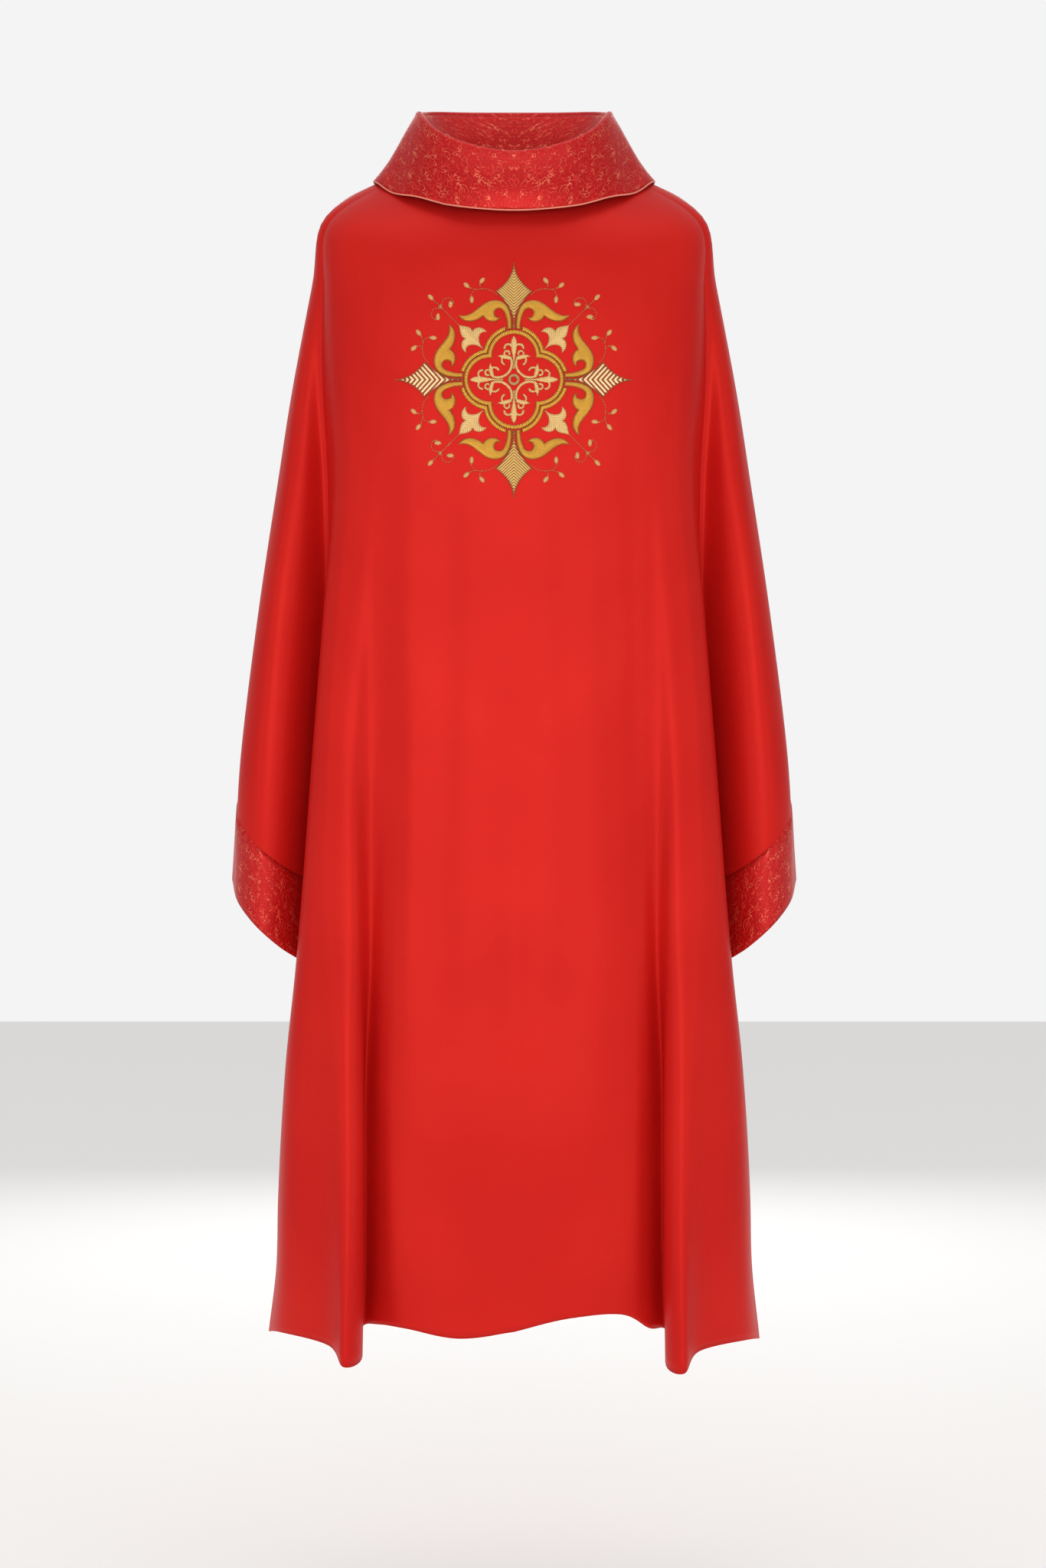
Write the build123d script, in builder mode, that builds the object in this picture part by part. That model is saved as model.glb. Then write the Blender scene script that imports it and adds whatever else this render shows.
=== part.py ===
"""A gothic chasuble with a roll collar, brocade cuffs and an embroidered chest motif.

The vestment is modelled as it hangs from the shoulders, empty.  The origin is the high point
of the shoulders, on the centre line.  +Z is up, the front faces -Y and +X is to the right of
someone who looks at the front.  All sizes are millimetres.

Every cloth wall is a band between an outer outline and the same outline inset: the outlines
stand at a few heights and a ruled loft joins them.
"""
import os
from math import cos, hypot, radians, sin

from build123d import *

os.makedirs("parts", exist_ok=True)

# Cloth layers.
PANEL_T = 3.0            # satin panel, with the ease that a hanging cloth takes up
CUFF_T = 1.5             # brocade cuff band, the facing behind it fills the rest of the wall
FACING_T = 1.0           # hem facings and seam tapes, inside the panels
COLLAR_T = 2.5           # brocade of the collar's fall, and of its stand
INTERLINING_T = 1.5      # stiff layer behind the fall
PIPING_H = 2.5           # piped edge below the fall
PAD_T = 3.0              # padded gold leaves and band
THREAD_T = 1.5           # flat embroidery in light gold thread

# Heights of the outlines, from the neck seam down.
NECK_Z = 6.0
SHOULDER_Z = -65.0
CHEST_TOP_Z = -104.0
CHEST_MID_Z = -180.0
CHEST_FOOT_Z = -404.0
WAIST_Z = -660.0
UNDERARM_Z = -887.0      # where the cuff's edge meets the body
HEM_Z = -1312.0

# Half widths and half depths.
NECK_A = 82.0
NECK_B = 70.0
SLOPE_Z = -29.0          # where the shoulder line turns down
SLOPE_A = 152.0
SLOPE_B = 82.0
SHOULDER_A = 203.0
SHOULDER_B = 97.0
CHEST_TOP_HALF_W = 72.0  # flat front of the chest, below the collar
CHEST_HALF_W = 135.0     # and across the motif
CHEST_D = 118.0
WAIST_D = 132.0
UNDERARM_D = 142.0
HEM_HALF_W = 272.0
HEM_HALF_D = 165.0
SIDE_FLAT = 10.0         # half width of the flat strip along the side and shoulder seams

# Cuff: the slanting edge of each sleeve.
CUFF_Z = -842.0          # height of the middle of the edge
CUFF_X = 277.0           # its distance from the centre line
CUFF_SLOPE = 50.6        # degrees down from the horizontal, towards the body
CUFF_W = 60.0            # width of the brocade band
SLEEVE_REACH = 318.0     # sleeve's outer edge at the underarm, before the cuff is cut
GROOVE_X = 236.0         # fold between body and sleeve at the cuff

# Roll collar.
COLLAR_SIDES = 28
COLLAR_TOP_Z = 57.0
COLLAR_TOP = (106.0, 80.0)
COLLAR_FLARE_Z = -84.0
COLLAR_FLARE = (199.0, 122.0)
COLLAR_SIDE_Z = -21.0    # lower edge of the fall over the shoulder
COLLAR_DIP = 0.67        # fall of the top edge towards the front, per mm of depth
COLLAR_FRONT_FALL = 0.464
COLLAR_BACK_FALL = 0.264
TAPE_HALF_H = 6.0        # neck tape, above and below the seam
TAPE_GAP = 2.5

# Hem facings and seam tapes.
HEM_FACING_H = 40.0
SIDE_TAPE_TOP_Z = -905.0
TAPE_HALF_W = 8.0
TAPE_END_GAP = 1.0       # between a side tape and the hem facing
SHOULDER_TAPE_Z = (-4.0, -100.0)
TOOL = 800.0             # larger than the garment, for cutting tools

# Chest motif, on the centre line.  Its parts repeat about both axes and both diagonals.
MOTIF_Z = -257.0
MOTIF_SIZE = 0.975       # drawn size to stitched size, as the stitches pull the cloth in
LOBE_OFFSET = 26.4       # centre of each lobe of the quatrefoil
LOBE_R = 24.1            # inner edge of its padded band
BAND_W = 4.9
CORD_GAP = 0.3
CORD_W = 4.7
STEM_GAP = 17.5          # break in the outline where the leaves' stems cross it
RING_R = 6.4
RING_HOLE_R = 3.2
SPRAY_W = 1.2            # couched thread
BUD = (4.0, 2.4)


def write(solid, name):
    """Label one finished piece and write it to its own file."""
    solid.label = name
    export_step(solid, f"parts/{name}.step")


# ---------------------------------------------------------------- outlines of the hanging cloth
def oval(half_w, half_d):
    """Front right quarter of an oval outline, from the side seam to beside the centre line."""
    return [(half_w, SIDE_FLAT)] + [(half_w * cos(t), half_d * sin(t)) for t in
                                    (radians(angle) for angle in (18, 32, 46, 60, 78))]


# Each ring: height, then the front right quarter as distances right of and in front of centre:
# side flat, sleeve side, sleeve front, groove, body corner, chest edge.
UPPER_RINGS = [
    (NECK_Z, oval(NECK_A, NECK_B)),
    (SLOPE_Z, oval(SLOPE_A, SLOPE_B)),
    (SHOULDER_Z, oval(SHOULDER_A, SHOULDER_B)),
    (CHEST_TOP_Z, [(216, SIDE_FLAT), (211, 38), (200, 58), (176, 80), (134, 102),
                   (CHEST_TOP_HALF_W, CHEST_D)]),
    (CHEST_MID_Z, [(229, SIDE_FLAT), (224, 42), (213, 60), (199, 66), (181, 90),
                   (CHEST_HALF_W, CHEST_D)]),
    (CHEST_FOOT_Z, [(267, SIDE_FLAT), (263, 45), (243, 70), (214, 52), (186, 96),
                    (CHEST_HALF_W, CHEST_D)]),
    (WAIST_Z, [(302, SIDE_FLAT), (296, 50), (270, 80), (229, 50), (206, 108),
               (CHEST_HALF_W + 5, WAIST_D)]),
    (UNDERARM_Z, [(SLEEVE_REACH, SIDE_FLAT), (311, 52), (284, 82), (GROOVE_X, 45), (216, 116),
                  (CHEST_HALF_W + 10, UNDERARM_D)]),
]
LOWER_RINGS = [
    (UNDERARM_Z, [(GROOVE_X + 6, SIDE_FLAT), (GROOVE_X + 5, 20), (GROOVE_X + 3, 32), (GROOVE_X, 45),
                  (216, 116), (CHEST_HALF_W + 10, UNDERARM_D)]),
    (HEM_Z, [(HEM_HALF_W, SIDE_FLAT), (HEM_HALF_W - 3, 50), (HEM_HALF_W - 12, 88),
             (HEM_HALF_W - 25, 115), (228, 142), (CHEST_HALF_W + 15, HEM_HALF_D)]),
]


def inset_outline(quarter, inset):
    """The whole outline, inset by a distance: mitred corners, from the right side through the front."""
    front = quarter + [(-x, y) for x, y in reversed(quarter)]
    ring = [(x, -y) for x, y in front] + [(x, y) for x, y in reversed(front)]
    moved = []
    for before, here, after in zip(ring[-1:] + ring[:-1], ring, ring[1:] + ring[:1]):
        a = (here[0] - before[0], here[1] - before[1])
        b = (after[0] - here[0], after[1] - here[1])
        # The outline runs clockwise seen from above, so its inner side is on the right.
        na = (a[1] / hypot(*a), -a[0] / hypot(*a))
        nb = (b[1] / hypot(*b), -b[0] / hypot(*b))
        mitre = 1 + na[0] * nb[0] + na[1] * nb[1]
        moved.append((here[0] + inset * (na[0] + nb[0]) / mitre,
                      here[1] + inset * (na[1] + nb[1]) / mitre))
    return moved


def outline_at(rings, z, inset):
    """The inset outline at any height between the first and last of some rings."""
    for (top_z, top), (foot_z, foot) in zip(rings, rings[1:]):
        if foot_z <= z <= top_z:
            share = (top_z - z) / (top_z - foot_z)
            upper = inset_outline(top, inset)
            lower = inset_outline(foot, inset)
            return [(u[0] + share * (w[0] - u[0]), u[1] + share * (w[1] - u[1]))
                    for u, w in zip(upper, lower)]
    raise ValueError(f"no ring spans height {z}")


def half_outline(rings, z, inset, front):
    """One panel's half of the outline, ended on the side seams."""
    ring = outline_at(rings, z, inset)
    count = len(ring) // 2
    half = ring[:count] if front else ring[count:]
    return [(half[0][0], 0)] + half + [(half[-1][0], 0)]


def wall(rings, heights, outer, inner, front):
    """A cloth wall between two insets, through the given heights, for one panel."""
    with BuildPart() as band:
        for z in heights:
            outside = half_outline(rings, z, outer, front)
            inside = half_outline(rings, z, inner, front)
            with BuildSketch(Plane.XY.offset(z)):
                Polygon(*outside, *reversed(inside), align=None)
        loft(ruled=True)
    return band.part


def heights_of(rings):
    """The heights of a list of rings."""
    return [z for z, _ in rings]


cuff_edge = Plane(
    origin=(CUFF_X, 0, CUFF_Z),
    x_dir=(0, 1, 0),
    z_dir=(sin(radians(CUFF_SLOPE)), 0, -cos(radians(CUFF_SLOPE))),
)


def past_cuff(side, start, depth):
    """Space outside the groove, from a distance before the cuff's edge and for a given depth."""
    with BuildPart() as zone:
        with BuildSketch(cuff_edge.offset(-start)):
            Rectangle(TOOL, TOOL)
        extrude(amount=depth)
        with BuildSketch(Plane.YZ.offset(GROOVE_X)):
            Rectangle(4 * TOOL, 4 * TOOL)
        extrude(amount=-TOOL, mode=Mode.SUBTRACT)
        if side < 0:
            mirror(about=Plane.YZ, mode=Mode.REPLACE)
    return zone.part


SIDES = ((1, "right"), (-1, "left"))
FACES = ((True, "front"), (False, "back"))

# ---------------------------------------------------------------- panels
for front, word in FACES:
    with BuildPart() as panel:
        add(wall(UPPER_RINGS, heights_of(UPPER_RINGS), 0, PANEL_T, front))
        for side, _ in SIDES:
            add(past_cuff(side, CUFF_W, TOOL), mode=Mode.SUBTRACT)
        add(wall(LOWER_RINGS, heights_of(LOWER_RINGS), 0, PANEL_T, front))
    write(panel.part, f"{word}_panel")

# ---------------------------------------------------------------- cuffs
for side, word in SIDES:
    for name, outer, inner in (("cuff_band", 0, CUFF_T), ("cuff_facing", CUFF_T, PANEL_T)):
        with BuildPart() as cuff:
            for front, _ in FACES:
                add(wall(UPPER_RINGS, heights_of(UPPER_RINGS)[-2:], outer, inner, front))
            add(past_cuff(side, CUFF_W, CUFF_W), mode=Mode.INTERSECT)
        write(cuff.part, f"{word}_{name}")

# ---------------------------------------------------------------- hem facings and seam tapes
for front, word in FACES:
    facing = wall(LOWER_RINGS, (HEM_Z + HEM_FACING_H, HEM_Z), PANEL_T, PANEL_T + FACING_T, front)
    write(facing, f"{word}_hem_facing")


def seam_tape(rings, heights, side):
    """A flat tape behind a seam at the side of the garment."""
    with BuildPart() as tape:
        for z in heights:
            edge = side * (outline_at(rings, z, PANEL_T)[0][0] - FACING_T / 2)
            with BuildSketch(Plane.XY.offset(z)):
                with Locations((edge, 0)):
                    Rectangle(FACING_T, 2 * TAPE_HALF_W)
        loft(ruled=True)
    return tape.part


tape_foot_z = HEM_Z + HEM_FACING_H + TAPE_END_GAP
shoulder_heights = [SHOULDER_TAPE_Z[0], SLOPE_Z, SHOULDER_Z, SHOULDER_TAPE_Z[1]]
for side, word in SIDES:
    write(seam_tape(LOWER_RINGS, (SIDE_TAPE_TOP_Z, tape_foot_z), side), f"{word}_side_seam_tape")
    write(seam_tape(UPPER_RINGS, shoulder_heights, side), f"{word}_shoulder_seam_tape")


# ---------------------------------------------------------------- collar
def many_sided(half_w, half_d):
    """A flat many-sided oval."""
    angles = [radians(360 * (i + 0.5) / COLLAR_SIDES) for i in range(COLLAR_SIDES)]
    Polygon(*[(half_w * cos(t), half_d * sin(t)) for t in angles], align=None)


def cone(top_z, top, foot_z, foot, outer, inner):
    """An oval cone-shaped wall between two insets."""
    with BuildPart() as solid:
        for inset, mode in ((outer, Mode.ADD), (inner, Mode.SUBTRACT)):
            with BuildSketch(Plane.XY.offset(foot_z)) as low:
                many_sided(foot[0] - inset, foot[1] - inset)
            with BuildSketch(Plane.XY.offset(top_z)) as high:
                many_sided(top[0] - inset, top[1] - inset)
            loft([low.sketch, high.sketch], ruled=True, mode=mode)
    return solid.part


def collar_zone(drop, height):
    """Space of the fall, or of the piping below it: both follow the same lower edge."""
    reach = 1.4 * COLLAR_FLARE[1]
    front_z = COLLAR_SIDE_Z - COLLAR_FRONT_FALL * reach - drop
    back_z = COLLAR_SIDE_Z - COLLAR_BACK_FALL * reach - drop
    side_z = COLLAR_SIDE_Z - drop
    if height is None:
        top = [(reach, COLLAR_TOP_Z), (0, COLLAR_TOP_Z), (-reach, COLLAR_TOP_Z - COLLAR_DIP * reach)]
    else:
        top = [(reach, back_z + height), (0, side_z + height), (-reach, front_z + height)]
    with BuildPart() as zone:
        with BuildSketch(Plane.YZ):
            Polygon((-reach, front_z), (0, side_z), (reach, back_z), *top, align=None)
        extrude(amount=1.2 * COLLAR_FLARE[0], both=True)
    return zone.part


for name, outer, inner, drop, height in (
    ("collar_fall", 0, COLLAR_T, 0, None),
    ("collar_interlining", COLLAR_T, COLLAR_T + INTERLINING_T, 0, None),
    ("collar_piping", 0, COLLAR_T + INTERLINING_T, PIPING_H, PIPING_H),
):
    with BuildPart() as layer:
        add(cone(COLLAR_TOP_Z, COLLAR_TOP, COLLAR_FLARE_Z, COLLAR_FLARE, outer, inner))
        add(collar_zone(drop, height), mode=Mode.INTERSECT)
    write(layer.part, name)

stand_top = [size - COLLAR_T - INTERLINING_T for size in COLLAR_TOP]
with BuildPart() as collar_stand:
    add(cone(COLLAR_TOP_Z, stand_top, NECK_Z, (NECK_A, NECK_B), 0, COLLAR_T))
    add(collar_zone(COLLAR_FLARE[0], None), mode=Mode.INTERSECT)
write(collar_stand.part, "collar_stand")

tape_size = [size - PANEL_T - TAPE_GAP for size in (NECK_A, NECK_B)]
neck_tape = cone(NECK_Z + TAPE_HALF_H, tape_size, NECK_Z - TAPE_HALF_H, tape_size, 0, FACING_T)
write(neck_tape, "neck_tape")

# ---------------------------------------------------------------- embroidery
chest_plane = Plane(origin=(0, -CHEST_D, MOTIF_Z), x_dir=(1, 0, 0), z_dir=(0, -1, 0))


def outline(*runs):
    """A flat face from runs of points that join end to end: two points make a line."""
    with BuildSketch() as face:
        with BuildLine():
            for run in runs:
                if len(run) == 2:
                    Line(*run)
                else:
                    Spline(*run)
        make_face()
    return face.sketch


def stitched(face, name, thickness):
    """A flat motif part laid on the chest: padded work stands twice as proud as thread."""
    with BuildPart() as piece:
        with BuildSketch(chest_plane):
            add(face.scale(MOTIF_SIZE))
        extrude(amount=thickness)
    write(piece.part, name)


def turned(face, quarter, flipped):
    """One copy of a motif part, turned by quarters of a turn and perhaps flipped first."""
    if flipped:
        face = face.mirror(Plane.YZ)
    return face.rotate(Axis.Z, -90 * quarter)


def lobes(radius):
    """The four-lobed shape of the quatrefoil, with lobes of the given radius."""
    cusp = (LOBE_OFFSET + (2 * radius**2 - LOBE_OFFSET**2) ** 0.5) / 2
    with BuildSketch() as shape:
        with PolarLocations(LOBE_OFFSET, 4):
            Circle(radius)
        Rectangle(2 * cusp, 2 * cusp)
    return shape.sketch


with BuildSketch() as quatrefoil:
    add(lobes(LOBE_R + BAND_W))
    add(lobes(LOBE_R), mode=Mode.SUBTRACT)
stitched(quatrefoil.sketch, "embroidery_quatrefoil_band", PAD_T)

with BuildSketch() as edge_cord:
    add(lobes(LOBE_R + BAND_W + CORD_GAP + CORD_W))
    add(lobes(LOBE_R + BAND_W + CORD_GAP), mode=Mode.SUBTRACT)
    Rectangle(TOOL, STEM_GAP, mode=Mode.SUBTRACT)
    Rectangle(STEM_GAP, TOOL, mode=Mode.SUBTRACT)
stitched(edge_cord.sketch, "embroidery_quatrefoil_cord", THREAD_T)

with BuildSketch() as centre_ring:
    Circle(RING_R)
    Circle(RING_HOLE_R, mode=Mode.SUBTRACT)
stitched(centre_ring.sketch, "embroidery_centre_ring", PAD_T)

# The centre cross: a lance, hooks, leaves and curled stems on each of four arms.
with BuildSketch() as cross_half_arm:
    add(outline([(0, 49), (2.9, 43.5), (2.4, 30), (1.6, 12)], [(1.6, 12), (0, 12)], [(0, 12), (0, 49)]))
    add(outline([(2, 21.5), (10, 23), (18.5, 26)], [(18.5, 26), (10, 27.8), (2, 24.5)], [(2, 24.5), (2, 21.5)]))
    for start, middle, end, width in (
        ((2, 36.5), (7.2, 39.2), (10.4, 35), 2.6),
        ((5, 28), (8, 31.8), (10.6, 28.6), 2.4),
        ((12.6, 24.4), (13.2, 20), (10.8, 17), 2.4),
    ):
        with BuildLine(mode=Mode.PRIVATE) as curl:
            ThreePointArc(start, middle, end)
        SlotArc(curl.edge(), width)
with BuildSketch() as stem_face:
    with BuildLine(mode=Mode.PRIVATE) as stem_path:
        ThreePointArc((2.6, 21), (6.9, 6.9), (21, 2.6))
    SlotArc(stem_path.edge(), 3)
with BuildSketch() as cross:
    for quarter in range(4):
        for flipped in (False, True):
            add(turned(cross_half_arm.sketch, quarter, flipped))
        add(turned(stem_face.sketch, quarter, False))
stitched(cross.sketch, "embroidery_centre_cross", THREAD_T)

# Eight padded scroll leaves, in pairs beside each axis.
scroll_leaf = outline(
    [(2.6, 56), (3.2, 71), (11.2, 86), (24.5, 88.5), (37.3, 82), (48, 74), (62, 72.5)],
    [(62, 72.5), (51, 64.8), (41, 66.3), (34, 70.5)],
    [(34, 70.5), (28, 65.2), (21, 64.6), (14.2, 70.1)],
    [(14.2, 70.1), (20.6, 71.5), (20.5, 77), (15.5, 78.8), (10.5, 73.5), (8.1, 56)],
    [(8.1, 56), (2.6, 56)],
)
# Four lozenge leaves, one on each axis.
lozenge_leaf = outline(
    [(0, 131), (3, 118.6), (9, 108.8), (19.7, 98.8)],
    [(19.7, 98.8), (13.5, 91.5), (7, 82.5), (1.7, 71), (1.5, 57)],
    [(1.5, 57), (-1.5, 57)],
    [(-1.5, 57), (-1.7, 71), (-7, 82.5), (-13.5, 91.5), (-19.7, 98.8)],
    [(-19.7, 98.8), (-9, 108.8), (-3, 118.6), (0, 131)],
)
# Four fleurs-de-lis, drawn pointing up and turned onto the diagonals.
fleur_right = [
    [(0.8, 48.6), (3, 57), (7.5, 61.5), (16.2, 58.6)],
    [(16.2, 58.6), (16.4, 64), (13, 69.3), (5.8, 70.6)],
    [(5.8, 70.6), (6.8, 74), (5, 79), (0, 87.2)],
]
fleur_left = [[(-x, y) for x, y in reversed(run)] for run in reversed(fleur_right)]
fleur = outline(*fleur_right, *fleur_left, [(-0.8, 48.6), (0.8, 48.6)])


def bud(x, y, angle):
    """One bud of a spray, its long way at the given angle."""
    with Locations(Location((x, y, 0), angle)):
        Ellipse(*BUD)


def stem(*points):
    """One couched stem."""
    with BuildLine(mode=Mode.PRIVATE) as path:
        Spline(*points) if len(points) > 2 else Line(*points)
    trace(path.edges(), SPRAY_W)


with BuildSketch() as axis_spray:
    stem((19.5, 95.2), (24.3, 99), (35.1, 101.4), (42.8, 100.6), (50, 103.6))
    stem((35.1, 101.4), (37.6, 105), (37, 108.5))
    stem((42.8, 100.6), (46.4, 96.8), (47, 91))
    bud(52.6, 105.6, 40)
    bud(35.3, 110.8, 130)
    bud(46.7, 89.3, 85)

with BuildSketch() as diagonal_spray:
    stem((0, 88.2), (0, 127))
    bud(0, 130.5, 90)
    for side in (1, -1):
        stem((0, 113), (side * 7.5, 118.5), (side * 13.2, 116), (side * 14.8, 110.5), (side * 11, 108))
        bud(side * 9.8, 109.1, 45)

for quarter, place in enumerate(("top", "right", "bottom", "left")):
    stitched(turned(lozenge_leaf, quarter, False), f"embroidery_lozenge_{place}", THREAD_T)
    for flipped, hand in ((False, "a"), (True, "b")):
        stitched(turned(scroll_leaf, quarter, flipped), f"embroidery_scroll_{place}_{hand}", PAD_T)
        stitched(turned(axis_spray.sketch, quarter, flipped), f"embroidery_spray_{place}_{hand}", THREAD_T)

for quarter, place in enumerate(("upper_right", "lower_right", "lower_left", "upper_left")):
    diagonal = quarter + 0.5
    stitched(turned(fleur, diagonal, False), f"embroidery_fleur_{place}", THREAD_T)
    stitched(turned(diagonal_spray.sketch, diagonal, False), f"embroidery_spray_{place}", THREAD_T)
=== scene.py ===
# %% [markdown]
# # A chasuble
# A chasuble is a priest's outer vestment: two wide panels of cloth joined along the shoulders,
# with a hole for the head.  This one is red satin with a rolled collar and cuff bands of brocade,
# and a gold motif stitched on the chest.
#
# The model starts from a measured frame of plain solids.  Everything here is made around that
# frame, in metres, with +Z up and the front facing -Y.

# %% Load the measured frame
import math

import bmesh
import bpy
import numpy as np
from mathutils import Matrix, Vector, noise
from mathutils.bvhtree import BVHTree
from mathutils.geometry import delaunay_2d_cdt
from mathutils.kdtree import KDTree


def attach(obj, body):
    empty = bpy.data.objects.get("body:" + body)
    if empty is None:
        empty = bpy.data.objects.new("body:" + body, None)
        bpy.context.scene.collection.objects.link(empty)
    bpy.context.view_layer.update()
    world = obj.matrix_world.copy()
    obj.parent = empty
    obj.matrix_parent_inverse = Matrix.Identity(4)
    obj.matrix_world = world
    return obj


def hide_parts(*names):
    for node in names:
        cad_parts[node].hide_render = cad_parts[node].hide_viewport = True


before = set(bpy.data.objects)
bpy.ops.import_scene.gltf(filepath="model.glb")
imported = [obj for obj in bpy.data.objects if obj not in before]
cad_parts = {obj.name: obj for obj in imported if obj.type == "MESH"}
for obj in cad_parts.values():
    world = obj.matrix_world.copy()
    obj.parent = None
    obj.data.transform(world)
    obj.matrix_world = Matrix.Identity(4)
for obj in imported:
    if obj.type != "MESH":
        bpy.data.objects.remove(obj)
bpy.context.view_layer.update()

scene = bpy.context.scene
MM = 0.001

# %% [markdown]
# ## The camera, the light and the floor
# The camera stands level with the waist, three and a half metres away, so that the whole garment
# is seen from the front with little perspective.  A large soft lamp from the front and a pale
# room give the cloth broad, quiet highlights.

# %% Camera
CAMERA_DISTANCE = 3.6
VIEW_HEIGHT = 1.748
camera = bpy.data.objects.new("camera", bpy.data.cameras.new("camera"))
scene.collection.objects.link(camera)
camera.location = (0.0098, -CAMERA_DISTANCE, -0.693)
camera.rotation_euler = (math.pi / 2, 0, 0)
camera.data.sensor_fit = "VERTICAL"
camera.data.sensor_height = 24
camera.data.lens = camera.data.sensor_height * CAMERA_DISTANCE / VIEW_HEIGHT
scene.camera = camera

# %% [markdown]
# Five lamps light the garment: a large one in front for broad highlights, a weak one on each
# side and above, and one behind for the back views.  The room behind is brighter than the rest,
# so that the red stands out against it without a coloured cast.

# %% Light and floor
def soft_lamp(name, place, aim, size, watts):
    """A large square lamp that points at a place."""
    lamp = bpy.data.objects.new(name, bpy.data.lights.new(name, "AREA"))
    scene.collection.objects.link(lamp)
    lamp.location = place
    lamp.rotation_euler = (Vector(aim) - Vector(place)).to_track_quat("-Z", "Y").to_euler()
    lamp.data.size = size
    lamp.data.energy = watts
    return lamp


soft_lamp("front_lamp", (0.0, -4.4, -0.30), (0, 0, -0.70), 2.0, 47)
soft_lamp("left_lamp", (-3.2, -3.0, -0.4), (0, 0, -0.70), 1.4, 11)
soft_lamp("right_lamp", (3.2, -3.0, -0.4), (0, 0, -0.70), 1.4, 11)
soft_lamp("top_lamp", (0.0, -1.0, 2.6), (0, 0, -0.6), 1.6, 10)
soft_lamp("back_lamp", (0.0, 3.6, 0.4), (0, 0, -0.7), 1.8, 34)

world = bpy.data.worlds.new("pale_room")
world.use_nodes = True
room = world.node_tree
direction = room.nodes.new("ShaderNodeTexCoord").outputs["Generated"]
split = room.nodes.new("ShaderNodeSeparateXYZ")
room.links.new(direction, split.inputs[0])
brightness = None
for axis, start, most in (("Y", 0.6, 0.72), ("Z", 0.45, 0.62)):
    wall = room.nodes.new("ShaderNodeMapRange")
    wall.inputs["From Min"].default_value = start
    wall.inputs["From Max"].default_value = 0.95
    wall.inputs["To Min"].default_value = 0.185
    wall.inputs["To Max"].default_value = most
    room.links.new(split.outputs[axis], wall.inputs["Value"])
    if brightness:
        total = room.nodes.new("ShaderNodeMath")
        room.links.new(brightness, total.inputs[0])
        room.links.new(wall.outputs[0], total.inputs[1])
        brightness = total.outputs[0]
    else:
        brightness = wall.outputs[0]
room.links.new(brightness, room.nodes["Background"].inputs["Strength"])
room.nodes["Background"].inputs["Color"].default_value = (1, 1, 1, 1)
scene.world = world
scene.view_settings.view_transform = "Standard"

FLOOR_Z = -1.62
floor_mesh = bpy.data.meshes.new("floor")
floor_mesh.from_pydata([(-9, -9, FLOOR_Z), (9, -9, FLOOR_Z), (9, 9, FLOOR_Z), (-9, 9, FLOOR_Z)],
                       [], [(0, 1, 2, 3)])
floor = bpy.data.objects.new("floor", floor_mesh)
scene.collection.objects.link(floor)

# %% [markdown]
# ## Finishes
# Each material is built from nodes.  One function turns a hex colour into the linear values that
# the shader wants, and one adds a node with its settings and links.

# %% Helpers for materials
def linear(hex_colour):
    """sRGB hex to linear RGBA."""
    values = [int(hex_colour[i:i + 2], 16) / 255 for i in (1, 3, 5)]
    return [v / 12.92 if v <= 0.04045 else ((v + 0.055) / 1.055) ** 2.4 for v in values] + [1.0]


def add_node(tree, kind, links=(), values=(), **settings):
    """Add a node: settings are its properties, values set its inputs, links feed its inputs."""
    node = tree.nodes.new(kind)
    for name, value in settings.items():
        setattr(node, name, value)
    for socket, value in dict(values).items():
        node.inputs[socket].default_value = value
    for socket, source in dict(links).items():
        tree.links.new(source, node.inputs[socket])
    return node


def new_material(name, roughness, **shader_values):
    """A material with its Principled shader, ready for colour and bump."""
    material = bpy.data.materials.new(name)
    material.use_nodes = True
    shader = material.node_tree.nodes["Principled BSDF"]
    shader.inputs["Roughness"].default_value = roughness
    for socket, value in shader_values.items():
        shader.inputs[socket.replace("_", " ")].default_value = value
    return material, material.node_tree, shader


def ramp(tree, source, stops):
    """A colour ramp from (position, hex colour) stops."""
    node = add_node(tree, "ShaderNodeValToRGB", links={"Fac": source})
    while len(node.color_ramp.elements) < len(stops):
        node.color_ramp.elements.new(0.5)
    for element, (position, colour) in zip(node.color_ramp.elements, stops):
        element.position = position
        element.color = linear(colour)
    return node.outputs["Color"]


def bump(tree, shader, height, distance, strength=1.0, under=None):
    """Feed a height into the shader's normal, over an earlier bump if there is one."""
    links = {"Height": height}
    if under:
        links["Normal"] = under
    node = add_node(tree, "ShaderNodeBump", links=links,
                    values={"Distance": distance, "Strength": strength})
    tree.links.new(node.outputs["Normal"], shader.inputs["Normal"])
    return node.outputs["Normal"]


# %% [markdown]
# ### Red satin
# Polyester satin floats its warp threads over the weft, so the surface is smooth and throws long
# soft highlights down the folds.  Real threads are 0.1 mm apart, too fine to see, so the weave is
# drawn at 1 mm and kept faint.

# %% Red satin
SATIN_THREAD = 1.0 * MM


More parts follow.
